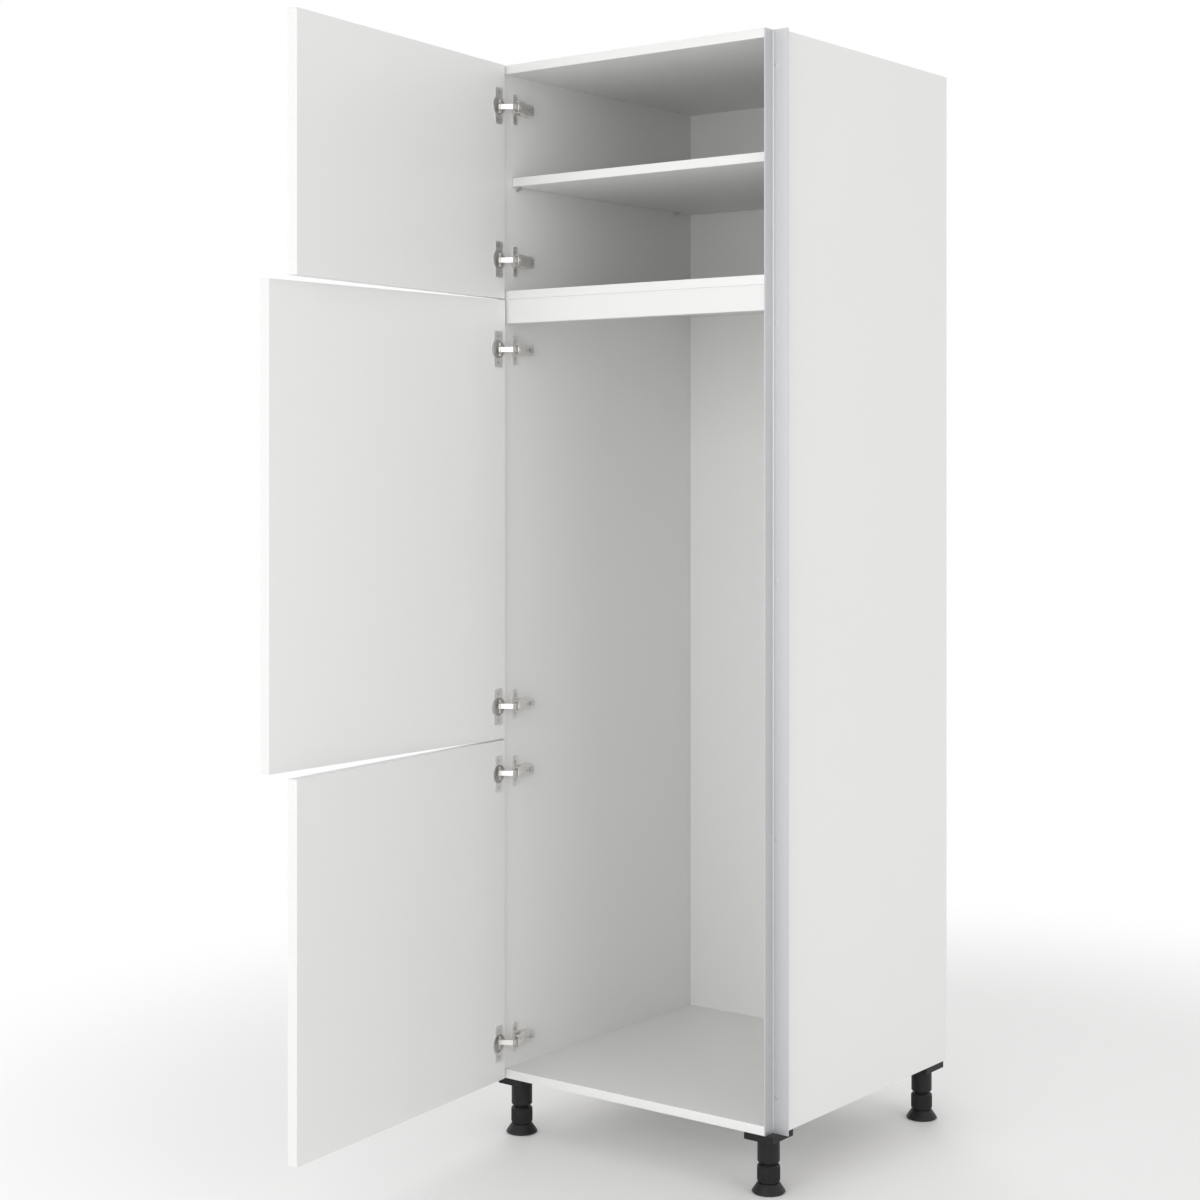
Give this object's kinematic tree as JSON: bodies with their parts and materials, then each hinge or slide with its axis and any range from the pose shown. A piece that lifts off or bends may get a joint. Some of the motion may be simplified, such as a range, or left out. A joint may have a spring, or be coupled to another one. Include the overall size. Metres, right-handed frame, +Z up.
{
  "type": "tall fridge housing cabinet",
  "caption": "Tall kitchen cabinet for a built-in fridge, with left-hung doors on concealed hinges, an upright grip profile and levelling feet, shown standing open.",
  "frame": {"origin": "middle of the back's lower edge, at the wall and level with the carcass's underside", "axes": "+X to the right seen from the front, +Y into the cabinet towards its back, +Z up"},
  "size_m": [0.616, 1.1955, 1.955],
  "materials": {
    "carcass_board": "white melamine-faced board",
    "front": "white satin lacquered board",
    "grip_aluminium": "grey anodised",
    "nickel": "nickel plated",
    "screw_steel": "zinc plated",
    "black_plastic": "moulded, fine grain",
    "beech": "plain beech"
  },
  "bodies": {
    "root": {"left_side_panel": "carcass_board", "right_side_panel": "carcass_board", "top_panel": "carcass_board", "bottom_panel": "carcass_board", "fixed_shelf": "carcass_board", "front_rail": "carcass_board", "back_panel": "carcass_board", "adjustable_shelf": "carcass_board", "shelf_supports": "nickel", "carcass_dowels": "beech", "grip_profile": "grip_aluminium", "grip_profile_screws": "screw_steel", "hinge_plate_screws": "screw_steel", "hinge_arm_screws": "screw_steel", "hinge_arm_pins": "screw_steel", "foot_socket_screws": "screw_steel", "foot_sockets": "black_plastic", "foot_tubes": "black_plastic", "top_door_upper_hinge_arm": "nickel", "top_door_upper_hinge_plate": "nickel", "top_door_lower_hinge_arm": "nickel", "top_door_lower_hinge_plate": "nickel", "middle_door_upper_hinge_arm": "nickel", "middle_door_upper_hinge_plate": "nickel", "middle_door_lower_hinge_arm": "nickel", "middle_door_lower_hinge_plate": "nickel", "bottom_door_upper_hinge_arm": "nickel", "bottom_door_upper_hinge_plate": "nickel", "bottom_door_lower_hinge_arm": "nickel", "bottom_door_lower_hinge_plate": "nickel"},
    "top_door_links": {"top_door_upper_hinge_link": "nickel", "top_door_lower_hinge_link": "nickel"},
    "top_door": {"top_door": "front", "top_door_cup_pins": "screw_steel", "top_door_cup_screws": "screw_steel", "top_door_upper_hinge_cup": "nickel", "top_door_lower_hinge_cup": "nickel"},
    "middle_door_links": {"middle_door_upper_hinge_link": "nickel", "middle_door_lower_hinge_link": "nickel"},
    "middle_door": {"middle_door": "front", "middle_door_cup_pins": "screw_steel", "middle_door_cup_screws": "screw_steel", "middle_door_upper_hinge_cup": "nickel", "middle_door_lower_hinge_cup": "nickel"},
    "bottom_door_links": {"bottom_door_upper_hinge_link": "nickel", "bottom_door_lower_hinge_link": "nickel"},
    "bottom_door": {"bottom_door": "front", "bottom_door_cup_pins": "screw_steel", "bottom_door_cup_screws": "screw_steel", "bottom_door_upper_hinge_cup": "nickel", "bottom_door_lower_hinge_cup": "nickel"},
    "front_left_foot": {"front_left_adjusting_foot": "black_plastic"},
    "front_right_foot": {"front_right_adjusting_foot": "black_plastic"},
    "back_left_foot": {"back_left_adjusting_foot": "black_plastic"},
    "back_right_foot": {"back_right_adjusting_foot": "black_plastic"}
  },
  "joints": [
    {"name": "top_link_swing", "type": "hinge", "parent": "root", "child": "top_door_links", "pos_m": [-0.258, -0.588, 1.63675], "axis": [0, 0, 1], "range_deg": [-17.73, 2.33]},
    {"name": "top_door_swing", "type": "hinge", "parent": "top_door_links", "child": "top_door", "pos_m": [-0.28109, -0.6148, 1.63675], "axis": [0, 0, -1], "range_deg": [-101.72, 13.32]},
    {"name": "middle_link_swing", "type": "hinge", "parent": "root", "child": "middle_door_links", "pos_m": [-0.258, -0.588, 1.021], "axis": [0, 0, 1], "range_deg": [-19, 1.06]},
    {"name": "middle_door_swing", "type": "hinge", "parent": "middle_door_links", "child": "middle_door", "pos_m": [-0.28049, -0.6153, 1.021], "axis": [0, 0, -1], "range_deg": [-108.99, 6.05]},
    {"name": "bottom_link_swing", "type": "hinge", "parent": "root", "child": "bottom_door_links", "pos_m": [-0.258, -0.588, 0.30925], "axis": [0, 0, 1], "range_deg": [-17.73, 2.33]},
    {"name": "bottom_door_swing", "type": "hinge", "parent": "bottom_door_links", "child": "bottom_door", "pos_m": [-0.28109, -0.6148, 0.30925], "axis": [0, 0, -1], "range_deg": [-101.72, 13.32]},
    {"name": "front_left_foot_height", "type": "slide", "parent": "root", "child": "front_left_foot", "axis": [0, 0, -1], "range_m": [-0.003, 0.018]},
    {"name": "front_right_foot_height", "type": "slide", "parent": "root", "child": "front_right_foot", "axis": [0, 0, -1], "range_m": [-0.003, 0.018]},
    {"name": "back_left_foot_height", "type": "slide", "parent": "root", "child": "back_left_foot", "axis": [0, 0, -1], "range_m": [-0.003, 0.018]},
    {"name": "back_right_foot_height", "type": "slide", "parent": "root", "child": "back_right_foot", "axis": [0, 0, -1], "range_m": [-0.003, 0.018]}
  ],
  "couplings": [
    {"joint": "top_link_swing", "follows": "top_door_swing", "ratio": 0.17424},
    {"joint": "middle_link_swing", "follows": "middle_door_swing", "ratio": 0.17424},
    {"joint": "bottom_link_swing", "follows": "bottom_door_swing", "ratio": 0.17424}
  ]
}
